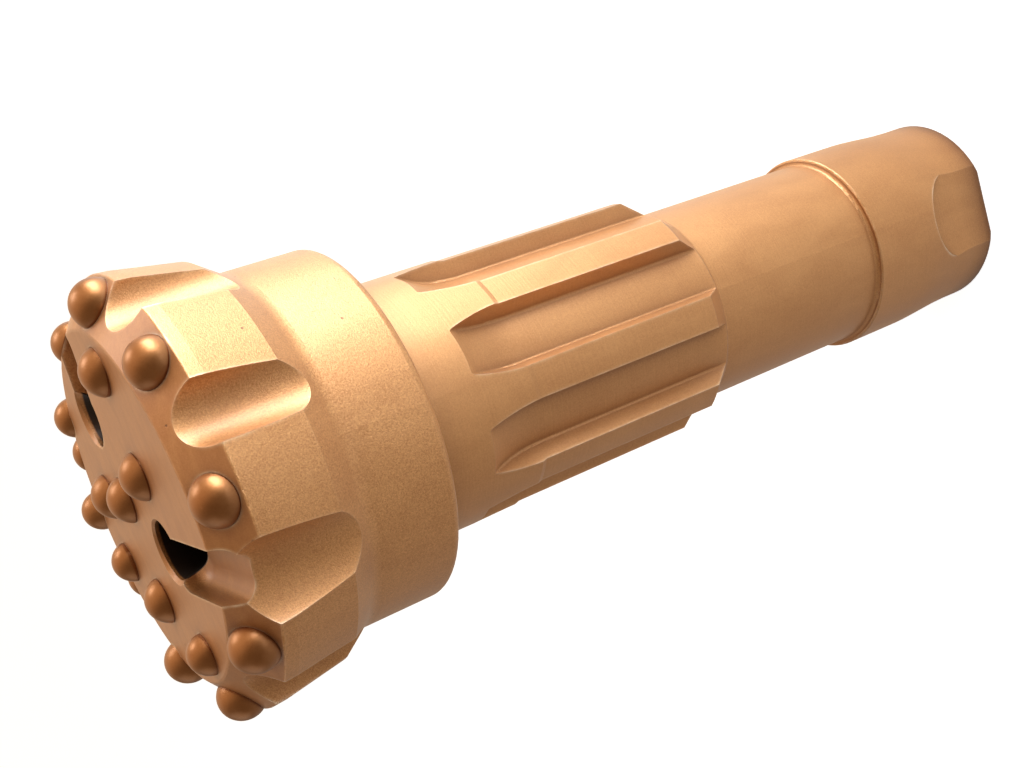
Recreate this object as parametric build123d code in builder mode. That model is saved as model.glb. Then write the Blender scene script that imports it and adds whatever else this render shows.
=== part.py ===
from build123d import *
import math
import os

os.makedirs("parts", exist_ok=True)

# Button bit for a down-the-hole hammer, standing on its striking face with the head up.
# Origin at the centre of the striking face, +Z along the axis towards the head, millimetres.
# Angles are counted from +X, anticlockwise seen from the head.

# Lengths along the axis, stacked from the striking face to the head
tail_end_length = 8.5
tail_barrel_length = 27.5
tail_guide_length = 19.1
neck_length = 63.3
spline_lead_length = 7.6
spline_length = 61.3
collar_step_length = 1.5
collar_length = 34.0
skirt_length = 24.4
rear_cone_length = 7.7
land_length = 16.8
gauge_strip_length = 3.6
bevel_height = 8.6

# Radii of the turned outline, and the small steps between neighbours
tail_radius = 31.6
tail_end_relief = 1.35
neck_radius = 29.55
collar_radius = 35.9
spline_relief = 0.45
skirt_radius = 49.0
gauge_radius = 57.3
gauge_strip_relief = 0.25
land_relief = 2.9
bevel_width = 11.2

# Rounds and breaks of the turned outline
tail_end_break = 1.0
shoulder_round = 0.7
neck_foot_round = 1.2
neck_round = 1.5
collar_round = 3.0
skirt_foot_round = 2.2
skirt_top_round = 6.0
gauge_edge_round = 0.8
face_edge_round = 1.2

# Splines of the shank
spline_count = 8
spline_groove_angle = 14.0
groove_floor_rise = 0.55
groove_floor_half_width = 6.5
groove_flank_angle = 29.0
groove_base_round = 0.9
groove_runout_setback = 1.3
groove_runout_radius = 31.0
groove_runout_sweep = 60.0

# Flats milled on the tail
tail_flat_count = 2
tail_flat_angle = -8.3
tail_flat_depth = 4.2
tail_flat_cutter_radius = 14.2
tail_flat_cutter_height = 14.0

# Central air bore and the foot valve's seat
foot_valve_radius = 14.0
foot_valve_depth = 34.0
foot_valve_break = 1.6
bore_radius = 11.0
bore_end_below_skirt = 1.8
bore_point_height = 6.0

# Flushing bores to the face, and the grooves that lead their air on to the large flutes.
# Places are shares of the flat face's radius.
flushing_radius = 7.8
flushing_start_overlap = 4.0
flushing_mouth_break = 0.9
flushing_mouth_shares = [(0.195, -0.252), (-0.285, 0.58)]
face_groove_start_shares = [(0.37, -0.34), (-0.262, 0.6)]
face_groove_end_shares = [(0.955, -0.445), (-0.178, 0.935)]
face_groove_radius = 7.0
face_groove_depth = 7.3
face_groove_bottom_round = 4.5

# Flutes down the side of the head: bar radius, depth at the face, depth at the skirt, angles
flute_radius = 8.0
flute_depth_at_face = 7.8
flute_depth_at_skirt = 6.3
flute_angles = [15.4, 54.6, -67.0, 253.5, 219.5]
narrow_flute_radius = 6.0
narrow_flute_angles = [160.8, 189.3]
air_flute_radius = 13.0
air_flute_depth_at_face = 7.9
air_flute_depth_at_skirt = 5.9
air_flute_angles = [-25.8, 98.5]

# Carbide buttons: the gauge row square to the bevel, the others on the flat face and its rim
gauge_button_radius = 6.25
gauge_button_height = 5.5
gauge_button_seat = 8.5
face_button_radius = 6.1
face_button_height = 4.6
face_button_seat = 7.0
small_button_radius = 5.5
small_button_height = 5.0
small_button_seat = 6.0
button_end_break = 2.0
button_band = 0.35
outer_button_lean = 6.0

# One overrun for all cutters
cutter_clearance = 4.0

# Heights and radii that follow from the sizes above
tail_barrel_top = tail_end_length + tail_barrel_length
shoulder_height = tail_barrel_top + tail_guide_length
neck_top = shoulder_height + neck_length
spline_foot = neck_top + spline_lead_length
collar_foot = spline_foot + spline_length
skirt_foot = collar_foot + collar_step_length + collar_length
skirt_top = skirt_foot + skirt_length
land_foot = skirt_top + rear_cone_length
gauge_strip_foot = land_foot + land_length
gauge_height = gauge_strip_foot + gauge_strip_length
face_height = gauge_height + bevel_height
tail_end_radius = tail_radius - tail_end_relief
spline_radius = collar_radius - spline_relief
gauge_strip_radius = gauge_radius - gauge_strip_relief
land_foot_radius = gauge_radius - land_relief
flat_face_radius = gauge_radius - bevel_width
groove_floor_radius = neck_radius + groove_floor_rise
groove_runout_start = collar_foot - groove_runout_setback
tail_flat_distance = tail_radius - tail_flat_depth
bore_height = skirt_foot - bore_end_below_skirt
flushing_start_height = bore_height - flushing_start_overlap
bevel_slope = bevel_height / bevel_width
bevel_angle = math.degrees(math.atan(bevel_slope))

# Places of the buttons: the share of the gauge radius (gauge row) or of the flat face's radius
# (the rest) at which each stands, its angle, its lean outwards and the share of its row's height
gauge_button_shares = [
    (0.897, -4.2, bevel_angle, 0.92),
    (0.906, 34.5, bevel_angle, 0.95),
    (0.905, 69.3, bevel_angle, 1.03),
    (0.877, 235.0, bevel_angle, 1.25),
    (0.916, 269.4, bevel_angle, 1.03),
    (0.901, -47.4, bevel_angle, 1.15),
]
face_button_shares = [
    (0.322, 30.4, 0, 1.0),
    (0.240, 160.2, 0, 1.0),
    (0.600, 167.0, 0, 1.0),
    (0.806, 63.8, outer_button_lean, 1.02),
    (0.606, 237.3, 0, 1.05),
]
small_button_shares = [
    (1.126, 115.5, bevel_angle, 0.86),
    (1.070, 143.4, bevel_angle, 1.12),
    (1.114, 157.4, bevel_angle, 0.94),
    (1.070, 175.5, bevel_angle, 1.36),
    (1.117, 200.5, bevel_angle, 0.80),
    (0.826, 198.0, outer_button_lean, 0.92),
    (0.842, 279.6, outer_button_lean, 1.0),
]

# Where each button stands, as a plane whose normal is the button's axis
button_rows = [
    ("gauge_button", gauge_radius, gauge_button_radius, gauge_button_seat, gauge_button_height),
    ("face_button", flat_face_radius, face_button_radius, face_button_seat, face_button_height),
    ("small_button", flat_face_radius, small_button_radius, small_button_seat, small_button_height),
]
row_shares = [gauge_button_shares, face_button_shares, small_button_shares]
buttons = []
for (row_name, reach, radius, seat, row_height), shares in zip(button_rows, row_shares):
    for number, (circle_share, angle, lean, height_share) in enumerate(shares, start=1):
        circle = circle_share * reach
        base = face_height - max(0, circle - flat_face_radius) * bevel_slope
        outward = Vector(1, 0, 0).rotate(Axis.Z, angle)
        tilt = math.radians(lean)
        plane = Plane(
            origin=outward * circle + Vector(0, 0, base),
            z_dir=outward * math.sin(tilt) + Vector(0, 0, math.cos(tilt)),
        )
        buttons.append((f"{row_name}_{number}", plane, radius, seat, height_share * row_height))

# Cutter for one spline groove: sloping sides, a floor round about the bit's axis,
# and a round run-out at the collar end
flank_rise = collar_radius + cutter_clearance - groove_floor_radius
flank_spread = flank_rise * math.tan(math.radians(groove_flank_angle))
floor_corner = math.sqrt(groove_floor_radius**2 - groove_floor_half_width**2)
with BuildPart() as spline_cutter:
    with BuildSketch(Plane.XY.offset(groove_runout_start)) as groove_section:
        with BuildLine():
            groove_floor = ThreePointArc(
                (floor_corner, -groove_floor_half_width),
                (groove_floor_radius, 0),
                (floor_corner, groove_floor_half_width),
            )
            Polyline(
                groove_floor @ 1,
                (floor_corner + flank_rise, groove_floor_half_width + flank_spread),
                (floor_corner + flank_rise, -groove_floor_half_width - flank_spread),
                groove_floor @ 0,
            )
        make_face()
        fillet(groove_section.vertices().sort_by(Axis.X)[0:2], radius=groove_base_round)
    revolve(
        axis=Axis((groove_floor_radius + groove_runout_radius, 0, groove_runout_start), (0, 1, 0)),
        revolution_arc=groove_runout_sweep,
    )
    extrude(groove_section.sketch, amount=-(groove_runout_start - neck_top + cutter_clearance))

# Cutter for one flat on the tail: the path of a round cutter run in from the striking face
tail_flat_plane = Plane(origin=(tail_flat_distance, 0, 0), x_dir=(0, 1, 0), z_dir=(1, 0, 0))
with BuildPart() as tail_flat_cutter:
    with BuildSketch(tail_flat_plane):
        with Locations((0, tail_flat_cutter_height)):
            Circle(tail_flat_cutter_radius)
        with Locations((0, tail_flat_cutter_height / 2 - cutter_clearance / 2)):
            Rectangle(2 * tail_flat_cutter_radius, tail_flat_cutter_height + cutter_clearance)
    extrude(amount=tail_flat_depth + cutter_clearance)

# Cutters for the three kinds of flute: round bars laid against the head, leaning out towards
# the skirt
flute_length = face_height - skirt_top
flute_cutters = []
for bar_radius, depth_at_face, depth_at_skirt in [
    (flute_radius, flute_depth_at_face, flute_depth_at_skirt),
    (narrow_flute_radius, flute_depth_at_face, flute_depth_at_skirt),
    (air_flute_radius, air_flute_depth_at_face, air_flute_depth_at_skirt),
]:
    lean = (depth_at_face - depth_at_skirt) / flute_length
    bar_drop = 3 * cutter_clearance
    bar_plane = Plane(
        origin=(gauge_radius - depth_at_skirt + bar_radius + bar_drop * lean, 0, skirt_top - bar_drop),
        z_dir=(-lean, 0, 1),
    )
    with BuildPart() as flute_cutter:
        with BuildSketch(bar_plane):
            Circle(bar_radius)
        extrude(amount=flute_length + 2 * bar_drop)
    flute_cutters.append(flute_cutter.part)

# Cutters for the flushing bores: each leans out from the central bore to its mouth in the face,
# where its rim is broken
flushing_cutters = []
for mouth_x_share, mouth_y_share in flushing_mouth_shares:
    rise = Vector(
        mouth_x_share * flat_face_radius,
        mouth_y_share * flat_face_radius,
        face_height - flushing_start_height,
    )
    bore_plane = Plane(origin=(0, 0, flushing_start_height), z_dir=rise)
    with BuildPart() as flushing_cutter:
        with BuildSketch(bore_plane):
            Circle(flushing_radius)
        extrude(amount=rise.length + 2 * cutter_clearance)
        with BuildSketch(Plane(origin=(rise.X, rise.Y, face_height))):
            Circle(flushing_radius + flushing_mouth_break)
        extrude(amount=-flushing_mouth_break, taper=45)
    flushing_cutters.append(flushing_cutter.part)

# Cutters for the face grooves: flat-bottomed slots with a generous bottom round, each from its
# flushing bore out into its large flute
face_groove_cutters = []
for start_share, end_share in zip(face_groove_start_shares, face_groove_end_shares):
    start = Vector(*start_share) * flat_face_radius
    run = Vector(*end_share) * flat_face_radius - start
    groove_plane = Plane(
        origin=(start.X, start.Y, face_height - face_groove_depth), x_dir=run, z_dir=(0, 0, 1)
    )
    with BuildPart() as face_groove_cutter:
        with BuildSketch(groove_plane):
            SlotCenterPoint((run.length / 2, 0), (run.length, 0), 2 * face_groove_radius)
        extrude(amount=face_groove_depth + cutter_clearance)
        bottom_edges = face_groove_cutter.faces().sort_by(Axis.Z)[0].edges()
        fillet(bottom_edges, radius=face_groove_bottom_round)
    face_groove_cutters.append(face_groove_cutter.part)

# Turned, milled and drilled body: tail, neck, splined shank, collar, skirt and head
outline_rounds = [
    (tail_radius, shoulder_height, shoulder_round),
    (neck_radius, shoulder_height, neck_foot_round),
    (neck_radius, neck_top, neck_round),
    (collar_radius, skirt_foot, collar_round),
    (skirt_radius, skirt_foot, skirt_foot_round),
    (skirt_radius, skirt_top, skirt_top_round),
    (gauge_radius, gauge_height, gauge_edge_round),
    (flat_face_radius, face_height, face_edge_round),
]
with BuildPart() as bit_body:
    with BuildSketch(Plane.XZ) as outline:
        with BuildLine():
            tail_side = Polyline(
                (0, 0),
                (tail_end_radius - tail_end_break, 0),
                (tail_end_radius, tail_end_break),
                (tail_end_radius, tail_end_length),
            )
            barrel = Spline(
                tail_side @ 1,
                (tail_radius, tail_barrel_top),
                tangents=[(0, 1), (0, 1)],
            )
            Polyline(
                barrel @ 1,
                (tail_radius, shoulder_height),
                (neck_radius, shoulder_height),
                (neck_radius, neck_top),
                (spline_radius, spline_foot),
                (spline_radius, collar_foot),
                (collar_radius, collar_foot + collar_step_length),
                (collar_radius, skirt_foot),
                (skirt_radius, skirt_foot),
                (skirt_radius, skirt_top),
                (land_foot_radius, land_foot),
                (gauge_strip_radius, gauge_strip_foot),
                (gauge_radius, gauge_height),
                (flat_face_radius, face_height),
                (0, face_height),
                (0, 0),
            )
        make_face()
        for corner_radius, corner_height, corner_round in outline_rounds:
            corner = outline.vertices().sort_by_distance((corner_radius, corner_height, 0))[0]
            fillet(corner, radius=corner_round)
    revolve(axis=Axis.Z)

    # Eight spline grooves and the flats of the tail
    with PolarLocations(0, spline_count, start_angle=spline_groove_angle):
        add(spline_cutter.part, mode=Mode.SUBTRACT)
    with PolarLocations(0, tail_flat_count, start_angle=tail_flat_angle):
        add(tail_flat_cutter.part, mode=Mode.SUBTRACT)

    # Flutes of the head
    for cutter, angles in zip(flute_cutters, [flute_angles, narrow_flute_angles, air_flute_angles]):
        for angle in angles:
            with Locations(Location((0, 0, 0), (0, 0, angle))):
                add(cutter, mode=Mode.SUBTRACT)

    # Central bore with its drill point, and the foot valve's seat at the tail
    with BuildSketch(Plane.XZ):
        with BuildLine():
            Polyline(
                (0, 0),
                (foot_valve_radius + foot_valve_break, 0),
                (foot_valve_radius, foot_valve_break),
                (foot_valve_radius, foot_valve_depth),
                (bore_radius, foot_valve_depth + foot_valve_radius - bore_radius),
                (bore_radius, bore_height),
                (0, bore_height + bore_point_height),
                (0, 0),
            )
        make_face()
    revolve(axis=Axis.Z, mode=Mode.SUBTRACT)

    # Flushing bores and the grooves they open into
    for cutter in flushing_cutters + face_groove_cutters:
        add(cutter, mode=Mode.SUBTRACT)

    # Seats drilled for the buttons, with the same broken bottom corner as the buttons have
    for _, plane, radius, seat, _ in buttons:
        with BuildSketch(plane.offset(-seat)):
            Circle(radius - button_end_break)
        extrude(amount=button_end_break, taper=-45, mode=Mode.SUBTRACT)
        with BuildSketch(plane.offset(button_end_break - seat)):
            Circle(radius)
        extrude(amount=seat - button_end_break + cutter_clearance, mode=Mode.SUBTRACT)

bit_body.part.label = "bit_body"
export_step(bit_body.part, "parts/bit_body.step")

# Buttons: a straight carbide shank, a short band and a domed top of half a ball at most
for name, plane, radius, seat, height in buttons:
    band = max(button_band, height - radius)
    dome_height = height - band
    dome_radius = (radius**2 + dome_height**2) / (2 * dome_height)
    with BuildPart() as button:
        with BuildSketch(plane * Plane.XZ) as button_section:
            with BuildLine():
                side = Polyline(
                    (0, -seat),
                    (radius - button_end_break, -seat),
                    (radius, button_end_break - seat),
                    (radius, band),
                )
                dome = RadiusArc(side @ 1, (0, height), -dome_radius)
                Line(dome @ 1, (0, -seat))
            make_face()
        revolve(axis=Axis(plane.origin, plane.z_dir))
    button.part.label = name
    export_step(button.part, f"parts/{name}.step")
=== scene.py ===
import bpy
from mathutils import Matrix, Vector

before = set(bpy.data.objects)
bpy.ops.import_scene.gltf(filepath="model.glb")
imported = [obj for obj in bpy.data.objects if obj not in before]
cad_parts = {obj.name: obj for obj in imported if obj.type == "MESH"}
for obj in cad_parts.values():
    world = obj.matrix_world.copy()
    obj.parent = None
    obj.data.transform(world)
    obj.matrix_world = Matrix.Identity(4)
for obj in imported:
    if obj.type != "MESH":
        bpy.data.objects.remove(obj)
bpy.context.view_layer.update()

# Camera
# It stands beside the head and a little above it, and looks back along the bit. It is rolled so
# that the head hangs low at the left and the tail rises to the right.
camera_place = Vector((0.35179, 0.0, 0.35871))
camera_target = Vector((0.00434, -0.03884, 0.14677))
camera_roll = -1.99293
camera_lens = 48.566
camera_sensor = 36.0
camera_shift_x = -0.12878
camera_shift_y = 0.07412
camera_clip_start = 0.01

camera_data = bpy.data.cameras.new("camera")
camera_data.lens = camera_lens
camera_data.sensor_width = camera_sensor
camera_data.shift_x = camera_shift_x
camera_data.shift_y = camera_shift_y
camera_data.clip_start = camera_clip_start
camera = bpy.data.objects.new("camera", camera_data)
bpy.context.scene.collection.objects.link(camera)
look = (camera_target - camera_place).to_track_quat("-Z", "Y").to_matrix().to_4x4()
roll = Matrix.Rotation(camera_roll, 4, "Z")
camera.matrix_world = Matrix.Translation(camera_place) @ look @ roll
bpy.context.scene.camera = camera

# Steel body
# One forging of alloy steel, turned, milled, drilled and shot-blasted, then sprayed all over with
# a satin bronze coating. The blasted grain shows through, and the sharp edges are rubbed bright and
# carry a painted highlight; corners, hollows and bores carry painted shade.
coating_dark = (0.50, 0.195, 0.052, 1.0)
coating_light = (0.86, 0.485, 0.200, 1.0)
# The rubbed colour is edge wear with a painted highlight on it.
rubbed_and_highlight_colour = (0.95, 0.78, 0.56, 1.0)
coating_face = (0.78, 0.70, 0.62, 1.0)
# The next two browns are painted shade in corners, round the buttons and in hollows; the first also
# colours the pits.
pit_and_contact_shade_brown = (0.34, 0.20, 0.12, 1.0)
cavity_shade_brown = (0.26, 0.15, 0.085, 1.0)
# The near black is painted shade inside the bores.
bore_shade_black = (0.016, 0.005, 0.003, 1.0)

# Sizes of the marks, in metres
grain_size = 0.00046
fleck_size = 0.00022
cloud_size = 0.014
streak_size = 0.0030
pit_size = 0.0042
edge_patch_size = 0.004
edge_reach = 0.0009
contact_reach = 0.0030
cavity_reach = 0.013

# Places on the bit, in metres from the striking face
face_height = 0.2839
skirt_top = 0.2472
turned_from = 0.215
turned_to = 0.225
bore_start = (0.0, 0.0, 0.217)
bore_leans = [(0.1343, -0.1736, 1.0), (-0.1964, 0.3997, 1.0)]
bore_radius = 0.0079
bore_clearance = 0.00015
bore_lip = 0.0013
bore_fade = 0.0006
central_bore_start = (0.0, 0.0, -0.001)
central_bore_radius = 0.0145
central_bore_top = bore_start[2] + 0.014

# Shares of each mark in the colour, in the gloss and in the relief
middle_tone = 0.5
grain_tone, cloud_tone, streak_tone, turned_tone = 1.8, 0.62, 0.75, 0.16
pit_share, contact_shade_share, cavity_share, edge_share = 0.75, 0.85, 0.90, 0.85
coating_roughness = 0.50
cloud_roughness, face_roughness, grain_roughness, edge_roughness = 0.22, 0.10, 0.35, -0.15
turned_relief, pit_relief = 0.30, -2.0
shank_grain, head_grain, face_grain_loss = 0.60, 0.75, 0.65
turning_scale = 1600.0
pit_rim, pit_heart, pit_rarity = 0.11, 0.03, 0.86
occlusion_samples = 4


def add(tree, kind, settings=None, **sockets):
    """A node of this kind, with its settings, and its inputs set or linked by name or number."""
    node = tree.nodes.new(kind)
    for key, value in (settings or {}).items():
        setattr(node, key, value)
    for name, value in sockets.items():
        key = int(name[1:]) if name[0] == "_" else name.replace("_", " ")
        if isinstance(value, bpy.types.NodeSocket):
            tree.links.new(value, node.inputs[key])
        else:
            node.inputs[key].default_value = value
    return node


def maths(tree, operation, a, b=0.0, clamp=False):
    """The result of one sum on two values."""
    settings = {"operation": operation, "use_clamp": clamp}
    return add(tree, "ShaderNodeMath", settings, _0=a, _1=b).outputs[0]


def times(tree, a, b):
    """Two values multiplied."""
    return maths(tree, "MULTIPLY", a, b)


def vectors(tree, operation, a, b):
    """The outputs of one sum on two vectors."""
    return add(tree, "ShaderNodeVectorMath", {"operation": operation}, _0=a, _1=b).outputs


def shared(tree, start, terms, clamp=True):
    """A start value plus each further value times its share, kept from 0 to 1 if asked."""
    total = start
    for value, share in terms:
        total = maths(tree, "ADD", total, times(tree, value, share))
    total.node.use_clamp = clamp
    return total


def between(tree, value, low, high, to_low=0.0, to_high=1.0):
    """The value, spread smoothly from one range on to another."""
    settings = {"interpolation_type": "SMOOTHSTEP"}
    return add(tree, "ShaderNodeMapRange", settings, Value=value, From_Min=low, From_Max=high,
               To_Min=to_low, To_Max=to_high).outputs["Result"]


def noise(tree, where, scale, **sockets):
    """A noise at this scale."""
    return add(tree, "ShaderNodeTexNoise", Vector=where, Scale=scale, **sockets).outputs["Fac"]


def tint(tree, share, base, over, blend="MIX"):
    """One colour laid over another by a share."""
    settings = {"data_type": "RGBA", "blend_type": blend}
    return add(tree, "ShaderNodeMix", settings, _0=share, _6=base, _7=over).outputs[2]


def effect(name, inputs, output_names):
    """An empty shader node group, with its named inputs and its value outputs."""
    group = bpy.data.node_groups.new(name, "ShaderNodeTree")
    for label, kind, value in inputs:
        socket = group.interface.new_socket(label, in_out="INPUT", socket_type=kind)
        if value is not None:
            socket.default_value = value
    for label in output_names:
        group.interface.new_socket(label, in_out="OUTPUT", socket_type="NodeSocketFloat")
    given = group.nodes.new("NodeGroupInput").outputs
    return group, given, group.nodes.new("NodeGroupOutput").inputs


def place(tree, group, **sockets):
    """The outputs of a node group placed in a material with its own values."""
    return add(tree, "ShaderNodeGroup", {"node_tree": group}, **sockets).outputs


def new_coating(name, **values):
    """A material, its node tree and its shader, with the shader's constants set by name."""
    material = bpy.data.materials.new(name)
    material.use_nodes = True
    shader = material.node_tree.nodes["Principled BSDF"]
    for key, value in values.items():
        shader.inputs[key.replace("_", " ")].default_value = value
    return material, material.node_tree, shader


def coat(piece, material):
    """Gives a piece this one material."""
    piece.data.materials.clear()
    piece.data.materials.append(material)


# The blasted and sprayed grain: soft dimples with fine flecks in them
dimple_share = 0.6
fleck_share = 0.4
blasted_grain, given, result = effect(
    "blasted_grain",
    [("Vector", "NodeSocketVector", None), ("Grain Size", "NodeSocketFloat", grain_size),
     ("Fleck Size", "NodeSocketFloat", fleck_size), ("Strength", "NodeSocketFloat", 1.0)],
    ["Shade", "Height"],
)
grain_scale = maths(blasted_grain, "DIVIDE", 1.0, given["Grain Size"])
fleck_scale = maths(blasted_grain, "DIVIDE", 1.0, given["Fleck Size"])
dimples = noise(blasted_grain, given["Vector"], grain_scale, Detail=2.0, Roughness=0.6)
flecks = noise(blasted_grain, given["Vector"], fleck_scale, Detail=1.0, Roughness=0.5)
relief = maths(blasted_grain, "ADD", times(blasted_grain, dimples, dimple_share),
               times(blasted_grain, flecks, fleck_share))
shade = times(blasted_grain, maths(blasted_grain, "SUBTRACT", relief, 0.5), given["Strength"])
blasted_grain.links.new(shade, result["Shade"])
blasted_grain.links.new(relief, result["Height"])

# The clouds of a hand-sprayed coating, drawn out a little along the bit
sprayed_clouds, given, result = effect(
    "sprayed_clouds",
    [("Vector", "NodeSocketVector", None), ("Cloud Size", "NodeSocketFloat", cloud_size),
     ("Stretch", "NodeSocketVector", (1.0, 1.0, 0.45))],
    ["Shade"],
)
stretched = vectors(sprayed_clouds, "MULTIPLY", given["Vector"], given["Stretch"])["Vector"]
cloud_scale = maths(sprayed_clouds, "DIVIDE", 1.0, given["Cloud Size"])
clouds = noise(sprayed_clouds, stretched, cloud_scale, Detail=5.0, Roughness=0.62, Distortion=0.6)
sprayed_clouds.links.new(maths(sprayed_clouds, "SUBTRACT", clouds, 0.5), result["Shade"])

# Sharp edges, where the coating is thin and rubbed bright in patches, and where a painted highlight
# runs along them
edge_starts, edge_full = 0.86, 0.50
patch_starts, patch_full, patch_least = 0.30, 0.62, 0.35
rubbed_edge_and_highlight, given, result = effect(
    "rubbed_edge_and_highlight",
    [("Vector", "NodeSocketVector", None), ("Reach", "NodeSocketFloat", edge_reach),
     ("Patch Size", "NodeSocketFloat", edge_patch_size)],
    ["Mask"],
)
inside = add(rubbed_edge_and_highlight, "ShaderNodeAmbientOcclusion",
             {"inside": True, "samples": occlusion_samples, "only_local": True},
             Distance=given["Reach"]).outputs["AO"]
patch_scale = maths(rubbed_edge_and_highlight, "DIVIDE", 1.0, given["Patch Size"])
patches = noise(rubbed_edge_and_highlight, given["Vector"], patch_scale, Detail=3.0)
open_edge = between(rubbed_edge_and_highlight, inside, edge_starts, edge_full)
patchy = between(rubbed_edge_and_highlight, patches, patch_starts, patch_full, patch_least, 1.0)
rubbed_edge_and_highlight.links.new(times(rubbed_edge_and_highlight, open_edge, patchy), result["Mask"])

# Painted shade in corners and hollows, and in the line round each button, darkened towards brown
corner_shade_starts, corner_shade_full = 0.90, 0.46
shade_in_corners, given, result = effect(
    "shade_in_corners", [("Reach", "NodeSocketFloat", contact_reach)], ["Mask"],
)
closed_in = add(shade_in_corners, "ShaderNodeAmbientOcclusion", {"samples": occlusion_samples},
                Distance=given["Reach"]).outputs["AO"]
shade_in_corners.links.new(between(shade_in_corners, closed_in, corner_shade_starts, corner_shade_full), result["Mask"])

# The inside of a drilled bore: near its line, past its start and below its top
inside_bore, given, result = effect(
    "inside_bore",
    [("Vector", "NodeSocketVector", None), ("Start", "NodeSocketVector", None),
     ("Lean", "NodeSocketVector", None), ("Radius", "NodeSocketFloat", bore_radius),
     ("Top", "NodeSocketFloat", face_height)],
    ["Mask"],
)
offset = vectors(inside_bore, "SUBTRACT", given["Vector"], given["Start"])["Vector"]
line = add(inside_bore, "ShaderNodeVectorMath", {"operation": "NORMALIZE"}, _0=given["Lean"])
across = vectors(inside_bore, "CROSS_PRODUCT", offset, line.outputs["Vector"])["Vector"]
away = add(inside_bore, "ShaderNodeVectorMath", {"operation": "LENGTH"}, _0=across).outputs["Value"]
near_line = maths(inside_bore, "LESS_THAN", away, given["Radius"])
level = add(inside_bore, "ShaderNodeSeparateXYZ", _0=given["Vector"]).outputs["Z"]
depth = maths(inside_bore, "SUBTRACT", given["Top"], level)
below_top = between(inside_bore, depth, 0.0, bore_fade)
rise = add(inside_bore, "ShaderNodeSeparateXYZ", _0=offset).outputs["Z"]
past_start = maths(inside_bore, "GREATER_THAN", rise, 0.0)
in_bore = times(inside_bore, times(inside_bore, near_line, past_start), below_top)
inside_bore.links.new(in_bore, result["Mask"])

body_coating, tree, shader = new_coating(
    "body_coating", Metallic=0.80, IOR=1.5, Specular_IOR_Level=0.25,
    Coat_Weight=1.0, Coat_Roughness=0.40, Coat_IOR=1.6,
)
spot = tree.nodes.new("ShaderNodeTexCoord").outputs
height_up = add(tree, "ShaderNodeSeparateXYZ", _0=spot["Object"]).outputs["Z"]
facing_up = add(tree, "ShaderNodeSeparateXYZ", _0=spot["Normal"]).outputs["Z"]

# Blasting is coarse on the head and the skirt and fine on the turned shank. The ground face has
# hardly any.
on_head = between(tree, height_up, skirt_top - 0.030, skirt_top - 0.020)
near_top = between(tree, height_up, face_height - 0.012, face_height - 0.009)
on_face = times(tree, between(tree, facing_up, 0.55, 0.75), near_top)
grain_strength = maths(tree, "ADD", times(tree, on_head, head_grain), shank_grain)
grain_left = maths(tree, "SUBTRACT", 1.0, times(tree, on_face, face_grain_loss))
grain_strength = times(tree, grain_strength, grain_left)
grain = place(tree, blasted_grain, Vector=spot["Object"], Strength=grain_strength)
clouds = place(tree, sprayed_clouds, Vector=spot["Object"])["Shade"]
streaks = place(tree, sprayed_clouds, Vector=spot["Object"], Cloud_Size=streak_size,
                Stretch=(1.0, 0.35, 1.0))["Shade"]

# Turning marks round the shank and the tail
turning = add(tree, "ShaderNodeTexNoise", {"noise_dimensions": "1D"}, W=height_up,
              Scale=turning_scale, Detail=2.0, Roughness=0.6).outputs["Fac"]
on_shank = maths(tree, "SUBTRACT", 1.0, between(tree, height_up, turned_from, turned_to))
turned = times(tree, maths(tree, "SUBTRACT", turning, 0.5), on_shank)

tone = shared(tree, middle_tone, [
    (grain["Shade"], grain_tone), (clouds, cloud_tone),
    (times(tree, streaks, on_face), streak_tone), (turned, turned_tone),
])
colour = tint(tree, tone, coating_dark, coating_light)
colour = tint(tree, on_face, colour, coating_face, "MULTIPLY")

# Small pits in the head
pits = add(tree, "ShaderNodeTexVoronoi", {"feature": "F1"}, Vector=spot["Object"],
           Scale=1 / pit_size, Randomness=1.0).outputs
pit_number = add(tree, "ShaderNodeSeparateColor", _0=pits["Color"]).outputs[0]
chosen = maths(tree, "GREATER_THAN", pit_number, pit_rarity)
pit = times(tree, between(tree, pits["Distance"], pit_rim, pit_heart), chosen)
pit = times(tree, pit, on_head)
colour = tint(tree, times(tree, pit, pit_share), colour, pit_and_contact_shade_brown, "MULTIPLY")

# Painted shade in corners and hollows, and bright edges wherever nothing closes them in: rubbed
# wear with a painted highlight on it
contact_shade = place(tree, shade_in_corners)["Mask"]
colour = tint(tree, times(tree, contact_shade, contact_shade_share), colour, pit_and_contact_shade_brown, "MULTIPLY")
cavity_shade = place(tree, shade_in_corners, Reach=cavity_reach)["Mask"]
colour = tint(tree, times(tree, cavity_shade, cavity_share), colour, cavity_shade_brown, "MULTIPLY")
edge = place(tree, rubbed_edge_and_highlight, Vector=spot["Object"])["Mask"]
edge = times(tree, edge, maths(tree, "SUBTRACT", 1.0, contact_shade, True))
colour = tint(tree, times(tree, edge, edge_share), colour, rubbed_and_highlight_colour)

# Painted shade inside the central bore and the two flushing bores that lean out from it, painted
# near black
bore_shade = place(tree, inside_bore, Vector=spot["Object"], Start=central_bore_start,
             Lean=(0.0, 0.0, 1.0), Radius=central_bore_radius, Top=central_bore_top)["Mask"]
for lean in bore_leans:
    in_flushing_bore = place(tree, inside_bore, Vector=spot["Object"], Start=bore_start,
                             Lean=lean, Radius=bore_radius + bore_clearance,
                             Top=face_height - bore_lip)["Mask"]
    bore_shade = maths(tree, "MAXIMUM", bore_shade, in_flushing_bore)
colour = tint(tree, bore_shade, colour, bore_shade_black)
tree.links.new(colour, shader.inputs["Base Color"])

roughness = shared(tree, coating_roughness, [
    (clouds, cloud_roughness), (on_face, face_roughness),
    (grain["Shade"], grain_roughness), (edge, edge_roughness),
])
tree.links.new(roughness, shader.inputs["Roughness"])

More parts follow.
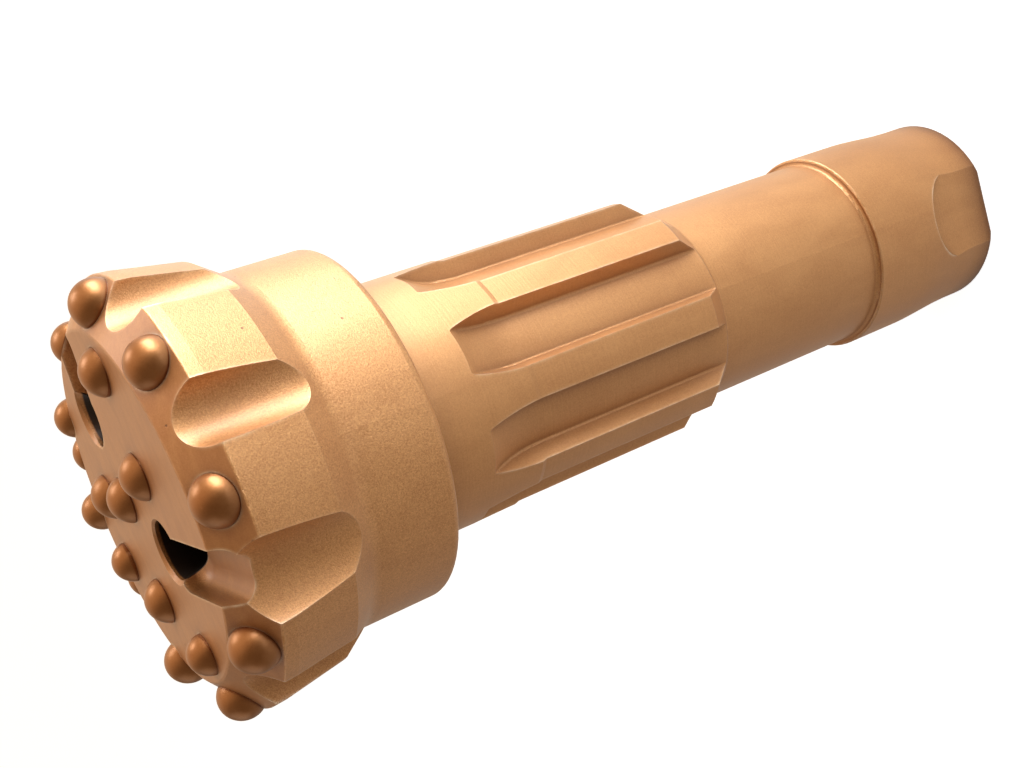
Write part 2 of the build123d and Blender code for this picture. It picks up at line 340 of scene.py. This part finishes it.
height = shared(tree, times(tree, grain["Height"], grain_strength),
                [(turned, turned_relief), (pit, pit_relief)], clamp=False)
bump = add(tree, "ShaderNodeBump", Strength=0.8, Distance=0.00014, Height=height)
tree.links.new(bump.outputs["Normal"], shader.inputs["Normal"])

coat(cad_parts["bit_body"], body_coating)

# Buttons
# Domed studs of tungsten carbide, ground smooth and pressed into drilled seats before the bit was
# sprayed, so they carry the same coating, with a finer grain and a painted shade line round the
# foot.
button_dark = (0.31, 0.115, 0.030, 1.0)
button_light = (0.50, 0.235, 0.090, 1.0)
button_grain_size = 0.00045
button_grain_strength = 0.45
button_cloud_size = 0.006
button_contact_reach = 0.0022
button_grain_tone, button_cloud_tone = 1.0, 0.8
button_contact_shade_share = 0.9
button_roughness, button_cloud_roughness = 0.41, 0.25

button_coating, tree, shader = new_coating(
    "button_coating", Metallic=1.0, IOR=1.5, Coat_Weight=0.5, Coat_Roughness=0.30,
)
spot = tree.nodes.new("ShaderNodeTexCoord").outputs
grain = place(tree, blasted_grain, Vector=spot["Object"], Grain_Size=button_grain_size,
              Strength=button_grain_strength)
clouds = place(tree, sprayed_clouds, Vector=spot["Object"], Cloud_Size=button_cloud_size,
               Stretch=(1.0, 1.0, 1.0))["Shade"]
# Painted shade in the line round the foot of each button
contact_shade = place(tree, shade_in_corners, Reach=button_contact_reach)["Mask"]
tone = shared(tree, middle_tone, [(grain["Shade"], button_grain_tone), (clouds, button_cloud_tone)])
colour = tint(tree, tone, button_dark, button_light)
colour = tint(tree, times(tree, contact_shade, button_contact_shade_share), colour, pit_and_contact_shade_brown, "MULTIPLY")
tree.links.new(colour, shader.inputs["Base Color"])
roughness = shared(tree, button_roughness, [(clouds, button_cloud_roughness)])
tree.links.new(roughness, shader.inputs["Roughness"])
bump = add(tree, "ShaderNodeBump", Strength=0.25, Distance=0.00006, Height=grain["Height"])
tree.links.new(bump.outputs["Normal"], shader.inputs["Normal"])

for name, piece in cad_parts.items():
    if "button" in name:
        coat(piece, button_coating)

# Studio
# A pale floor that fades into a white surround, with a soft light beside the bit, one in front of
# it, a small one over the head and a faint fill from the other side. The metal mirrors a backdrop
# that is bright on one side of the room and dark on the camera's side.
white = (1.0, 1.0, 1.0, 1.0)
floor_grey = (0.50, 0.50, 0.50, 1.0)
lamp_colour = (0.93, 0.97, 1.0)
room_colour = (1.0, 0.74, 0.50, 1.0)
backdrop_side = (-0.42, 0.87, 0.25)
floor_half_width = 6.0
floor_drop = 0.00002
floor_glow = 0.88
floor_fade_from, floor_fade_to, floor_gloss_least, floor_gloss_most = -0.10, 0.45, 0.05, 0.7
room_fade_from, room_fade_to = -0.35, 0.65
room_gloss_least, room_gloss_gain = 0.04, 0.9
room_light_least, room_light_gain = 0.24, 0.36


def towards_backdrop(tree, place_or_direction):
    """How far a place or a direction lies on the bright side of the room."""
    return vectors(tree, "DOT_PRODUCT", place_or_direction, backdrop_side)["Value"]


def seen_straight(tree, light_path):
    """1 for what the camera sees, also through something clear."""
    return maths(tree, "MAXIMUM", light_path["Is Camera Ray"], light_path["Is Transmission Ray"])


corners = [(-1, -1), (1, -1), (1, 1), (-1, 1)]
floor_mesh = bpy.data.meshes.new("floor")
floor_mesh.from_pydata(
    [(x * floor_half_width, y * floor_half_width, -floor_drop) for x, y in corners],
    [], [(0, 1, 2, 3)],
)
floor = bpy.data.objects.new("floor", floor_mesh)
bpy.context.scene.collection.objects.link(floor)
floor_white, tree, shader = new_coating(
    "floor_white", Base_Color=floor_grey, Roughness=0.9, Specular_IOR_Level=0.0,
    Emission_Color=white,
)
light_path = tree.nodes.new("ShaderNodeLightPath").outputs
floor_spot = tree.nodes.new("ShaderNodeTexCoord").outputs["Object"]
backdrop = between(tree, towards_backdrop(tree, floor_spot), floor_fade_from, floor_fade_to,
                   floor_gloss_least, floor_gloss_most)
glossy = times(tree, light_path["Is Glossy Ray"], backdrop)
seen = times(tree, seen_straight(tree, light_path), floor_glow)
tree.links.new(maths(tree, "MAXIMUM", seen, glossy), shader.inputs["Emission Strength"])
floor_mesh.materials.append(floor_white)

world = bpy.data.worlds.new("world")
bpy.context.scene.world = world
world.use_nodes = True
tree = world.node_tree
background = tree.nodes["Background"]
light_path = tree.nodes.new("ShaderNodeLightPath").outputs
direction = tree.nodes.new("ShaderNodeTexCoord").outputs["Generated"]
backdrop = between(tree, towards_backdrop(tree, direction), room_fade_from, room_fade_to)
in_gloss = shared(tree, room_gloss_least, [(backdrop, room_gloss_gain)])
glossy = times(tree, light_path["Is Glossy Ray"], in_gloss)
soft = shared(tree, room_light_least, [(backdrop, room_light_gain)])
lit = maths(tree, "MAXIMUM", glossy, soft)
seen = seen_straight(tree, light_path)
tree.links.new(maths(tree, "MAXIMUM", seen, lit), background.inputs["Strength"])
room = tint(tree, light_path["Is Camera Ray"], room_colour, white)
tree.links.new(room, background.inputs["Color"])

# Each lamp: its name, place, aim, width, length and power, and whether the metal mirrors it
lamps = [
    ("side_softbox", (0.24, 0.80, 0.18), (0.0, 0.0, 0.13), 0.80, 0.34, 8.5, True),
    ("front_softbox", (0.78, 0.34, 0.16), (0.0, 0.0, 0.12), 0.80, 0.30, 7.0, False),
    ("head_softbox", (-0.35, 0.55, 0.80), (0.0, 0.0, 0.25), 0.30, 0.30, 1.0, True),
    ("back_fill", (-0.3, -0.9, 0.60), (0.0, 0.0, 0.15), 0.80, 0.80, 0.8, True),
]
for name, stand, aim, width, length, power, mirrored in lamps:
    lamp_data = bpy.data.lights.new(name, "AREA")
    lamp_data.shape = "RECTANGLE"
    lamp_data.size = width
    lamp_data.size_y = length
    lamp_data.energy = power
    lamp_data.color = lamp_colour
    lamp = bpy.data.objects.new(name, lamp_data)
    bpy.context.scene.collection.objects.link(lamp)
    lamp.location = stand
    lamp.rotation_euler = (Vector(aim) - Vector(stand)).to_track_quat("-Z", "Y").to_euler()
    lamp.visible_glossy = mirrored

bpy.context.scene.view_settings.view_transform = "Standard"
